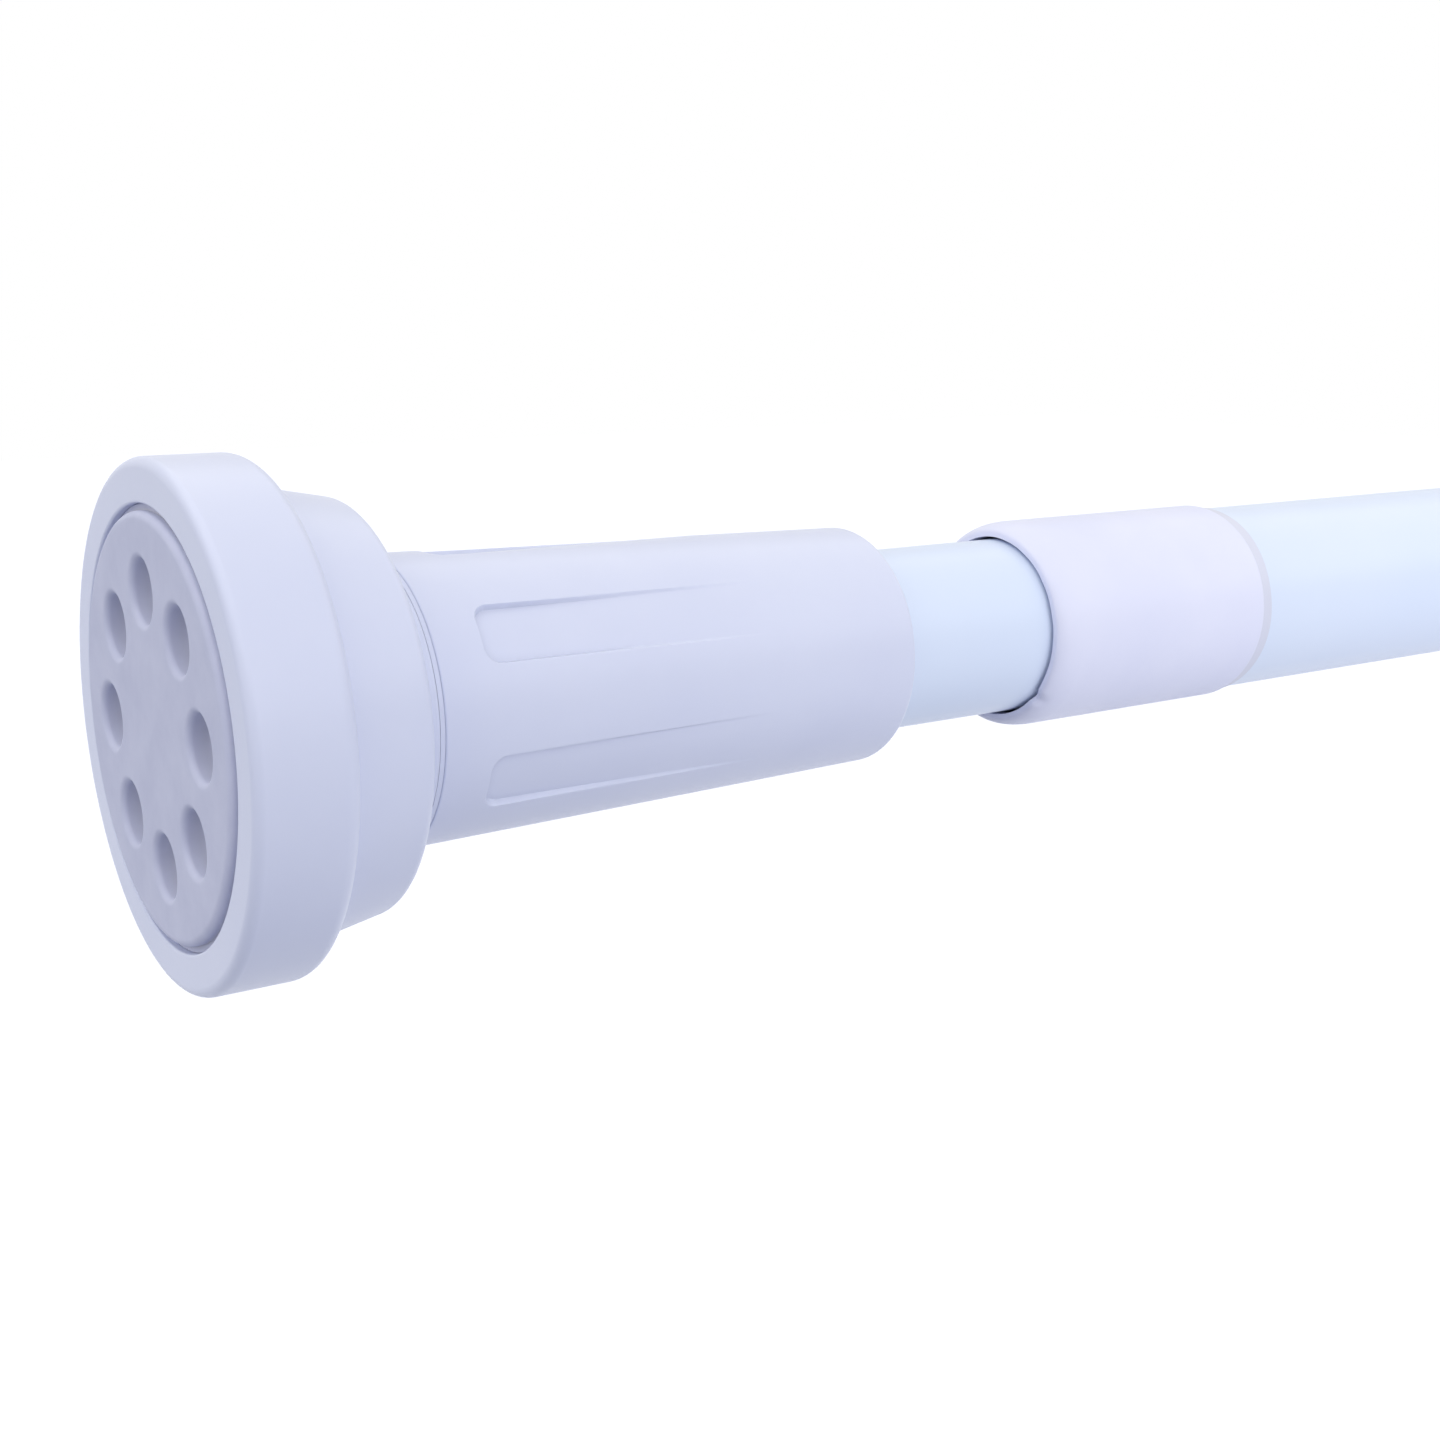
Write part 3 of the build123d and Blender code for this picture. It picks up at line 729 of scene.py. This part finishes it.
def collar_film(name, *colours):
    """Satin sleeve: soft clouding, shallow unevenness where it was shrunk on and a greyer skirt."""
    material, tree, shader, coords = new_material(name)
    cloud = noise(tree, coords, scale=70, detail=4)
    shrunk = noise(tree, stretch(tree, coords, (60, 130, 130)), scale=1.0, detail=2)
    uneven = bump(tree, shrunk, distance=0.25 * MM, strength=0.16)
    grain = noise(tree, coords, scale=1600, detail=2)
    normal = bump(tree, grain, distance=0.02 * MM, strength=0.2, under=uneven)
    wire(tree, shader, cloud, colours, cloud, roughness=(0.36, 0.46), normal=normal)
    along = tree.nodes.new("ShaderNodeSeparateXYZ")
    tree.links.new(coords, along.inputs["Vector"])
    skirt = ends_of("mouth_collar")[1] - SKIRT_LENGTH
    share = spread(tree, along.outputs["X"], skirt - FINE_ROUND, skirt + FINE_ROUND, 0, 1)
    overlay(tree, shader, share, SKIRT_COLOUR)
    return material


def natural_nylon(name, *colours):
    """Slightly waxy natural nylon."""
    material, tree, shader, coords = new_material(name)
    cloud = noise(tree, coords, scale=120, detail=4)
    grain = noise(tree, coords, scale=1500, detail=2)
    normal = bump(tree, grain, distance=0.03 * MM, strength=0.25)
    wire(tree, shader, cloud, colours, cloud, roughness=(0.38, 0.52), normal=normal)
    shader.inputs["Subsurface Weight"].default_value = 0.15
    shader.inputs["Subsurface Scale"].default_value = 1.5 * MM
    return material


def zinc_plate(name, *colours):
    """Bright zinc plate with turning marks round the rod's axis and a faint spangle."""
    material, tree, shader, coords = new_material(name)
    marks = noise(tree, stretch(tree, coords, (4000, 150, 150)), scale=1.0)
    spangle = noise(tree, coords, scale=420, detail=4)
    normal = bump(tree, marks, distance=0.02 * MM, strength=0.2)
    wire(tree, shader, spangle, colours, marks, roughness=(0.22, 0.38), normal=normal)
    shader.inputs["Metallic"].default_value = 1.0
    return material


MATERIALS = {
    "moulding": moulded_plastic("moulding", (0.679, 0.716, 0.888), (0.650, 0.688, 0.868)),
    "pad": soft_rubber("pad_rubber", (0.597, 0.620, 0.790), (0.547, 0.570, 0.742)),
    "tube_coat": coated_steel("tube_coat", (0.715, 0.798, 0.968), (0.686, 0.774, 0.958)),
    "collar": collar_film("collar_skin", (0.760, 0.780, 0.955), (0.726, 0.749, 0.936)),
    "nylon": natural_nylon("nylon", (0.78, 0.76, 0.68), (0.73, 0.71, 0.63)),
    "zinc_steel": zinc_plate("zinc", (0.66, 0.67, 0.69), (0.56, 0.57, 0.60)),
}
for row in frame["record"]["subparts"]:
    node_mesh = frame["nodes"][row["node"]].data
    node_mesh.materials.clear()
    node_mesh.materials.append(MATERIALS[row["material_slot"]])


# Pieces: name, form, body, node that it replaces, material slot

PIECES = (
    ("near_foot_moulding", foot_mesh, "foot", "near_foot", "moulding"),
    ("near_wall_pad", pad_mesh, "foot", "near_pad", "pad"),
    ("jack_screw_thread", screw_mesh, "foot", "jack_screw", "zinc_steel"),
    ("turning_grip", grip_mesh, "grip", "grip", "moulding"),
    ("inner_tube_coated", inner_tube_mesh, "inner_tube", "inner_tube", "tube_coat"),
    ("outer_tube_coated", outer_tube_mesh, "outer_tube", "outer_tube", "tube_coat"),
    ("mouth_collar_skin", mouth_mesh, "outer_tube", "mouth_collar", "collar"),
    ("far_foot_moulding", far_foot_mesh, "outer_tube", "far_foot", "moulding"),
    ("far_wall_pad", far_pad_mesh, "outer_tube", "far_pad", "pad"),
    ("far_sleeve_moulding", far_sleeve_mesh, "outer_tube", "far_sleeve", "moulding"),
)
for name, make, body, node, slot in PIECES:
    place(name, make, body, node, MATERIALS[slot])


# Stage: pale floor well below the rod, white surroundings, broad key and fill, small bounce, soft box

WHITE = (1, 1, 1, 1)
FLOOR_DROP = 0.45
FLOOR_REACH = 6.0
FLOOR_ALBEDO = (0.32, 0.34, 0.42, 1)
FLOOR_GLOW = 0.77
AMBIENT = 0.64
KEY_FROM = (-0.72, -0.10, 0.68)
KEY_STRENGTH = 1.0
KEY_SPREAD = radians(100)
FILL_FROM = (0.10, -0.40, 0.04)
FILL_STRENGTH = 0.78
FILL_SPREAD = radians(41)
BOUNCE_PLACE = (0.22, -0.15, -0.10)
BOUNCE_AIM = (0.17, 0, 0)
BOUNCE_SIZE = 0.2
BOUNCE_POWER = 0.135
BOX_TURN = radians(36)
BOX_RISE = radians(75)
BOX_REACH = 1.2
BOX_SIZE = (4.0, 4.5)
BOX_POWER = 60.0


def seen_directly(tree):
    """1 for what the camera sees directly, in gloss or through glass, else 0."""
    path = tree.nodes.new("ShaderNodeLightPath")
    total = path.outputs["Is Camera Ray"]
    for name in ("Is Glossy Ray", "Is Transmission Ray"):
        highest = tree.nodes.new("ShaderNodeMath")
        highest.operation = "MAXIMUM"
        tree.links.new(total, highest.inputs[0])
        tree.links.new(path.outputs[name], highest.inputs[1])
        total = highest.outputs["Value"]
    return total


def pale_floor():
    """Floor that shows white and keeps a soft shadow."""
    material = bpy.data.materials.new("pale_floor")
    material.use_nodes = True
    tree = material.node_tree
    tree.nodes.clear()
    diffuse = tree.nodes.new("ShaderNodeBsdfDiffuse")
    diffuse.inputs["Color"].default_value = FLOOR_ALBEDO
    glow = tree.nodes.new("ShaderNodeEmission")
    tree.links.new(spread(tree, seen_directly(tree), 0, 1, 0, FLOOR_GLOW), glow.inputs["Strength"])
    both = tree.nodes.new("ShaderNodeAddShader")
    tree.links.new(diffuse.outputs["BSDF"], both.inputs[0])
    tree.links.new(glow.outputs["Emission"], both.inputs[1])
    output = tree.nodes.new("ShaderNodeOutputMaterial")
    tree.links.new(both.outputs["Shader"], output.inputs["Surface"])
    square = ((-1, -1), (1, -1), (1, 1), (-1, 1))
    corners = [(x * FLOOR_REACH, y * FLOOR_REACH, -FLOOR_DROP) for x, y in square]
    mesh = bpy.data.meshes.new("floor")
    mesh.from_pydata(corners, [], [(0, 1, 2, 3)])
    mesh.materials.append(material)
    floor = add_object("floor", mesh)


def white_world():
    """World that lights softly and shows white."""
    world = bpy.data.worlds.new("studio")
    bpy.context.scene.world = world
    world.use_nodes = True
    tree = world.node_tree
    background = tree.nodes["Background"]
    background.inputs["Color"].default_value = WHITE
    strength = spread(tree, seen_directly(tree), 0, 1, AMBIENT, 1.0)
    tree.links.new(strength, background.inputs["Strength"])


def hang_light(name, lamp, source):
    """Lamp turned to shine from the direction of source."""
    holder = add_object(name, lamp)
    holder.rotation_euler = source.to_track_quat("Z", "Y").to_euler()
    return holder


def broad_light(name, source, strength, angle, in_gloss=True):
    """Broad light that falls evenly along the rod."""
    lamp = bpy.data.lights.new(name, "SUN")
    lamp.energy = strength
    lamp.angle = angle
    holder = hang_light(name, lamp, Vector(source))
    holder.visible_glossy = in_gloss


def bounce_light():
    """Small square lamp under the tubes, which shows neither in gloss nor to the camera."""
    lamp = bpy.data.lights.new("bounce", "AREA")
    lamp.shape = "SQUARE"
    lamp.size = BOUNCE_SIZE
    lamp.energy = BOUNCE_POWER
    holder = hang_light("bounce", lamp, Vector(BOUNCE_PLACE) - Vector(BOUNCE_AIM))
    holder.location = BOUNCE_PLACE
    holder.visible_glossy = False
    holder.visible_camera = False


def soft_box():
    """Large soft box high above the rod, which shows in gloss alone."""
    lamp = bpy.data.lights.new("soft_box", "AREA")
    lamp.shape = "RECTANGLE"
    lamp.size, lamp.size_y = BOX_SIZE
    lamp.energy = BOX_POWER
    out = Vector((cos(BOX_RISE) * sin(BOX_TURN), -cos(BOX_RISE) * cos(BOX_TURN), sin(BOX_RISE)))
    holder = hang_light("soft_box", lamp, out)
    holder.location = out * BOX_REACH
    holder.visible_diffuse = False
    holder.visible_camera = False


def photo_camera():
    """Camera at the photograph's angle."""
    data = bpy.data.cameras.new("photo_camera")
    data.sensor_width = CAMERA_SENSOR_MM
    data.lens = CAMERA_LENS_MM
    data.clip_start = CAMERA_CLIP
    holder = add_object("photo_camera", data)
    holder.location = CAMERA_PLACE
    holder.rotation_euler = (pi / 2 - CAMERA_PITCH, 0, -CAMERA_HEADING)
    bpy.context.scene.camera = holder


pale_floor()
white_world()
broad_light("key", KEY_FROM, KEY_STRENGTH, KEY_SPREAD)
broad_light("fill", FILL_FROM, FILL_STRENGTH, FILL_SPREAD, in_gloss=False)
bounce_light()
soft_box()
photo_camera()
bpy.context.scene.view_settings.view_transform = "Standard"
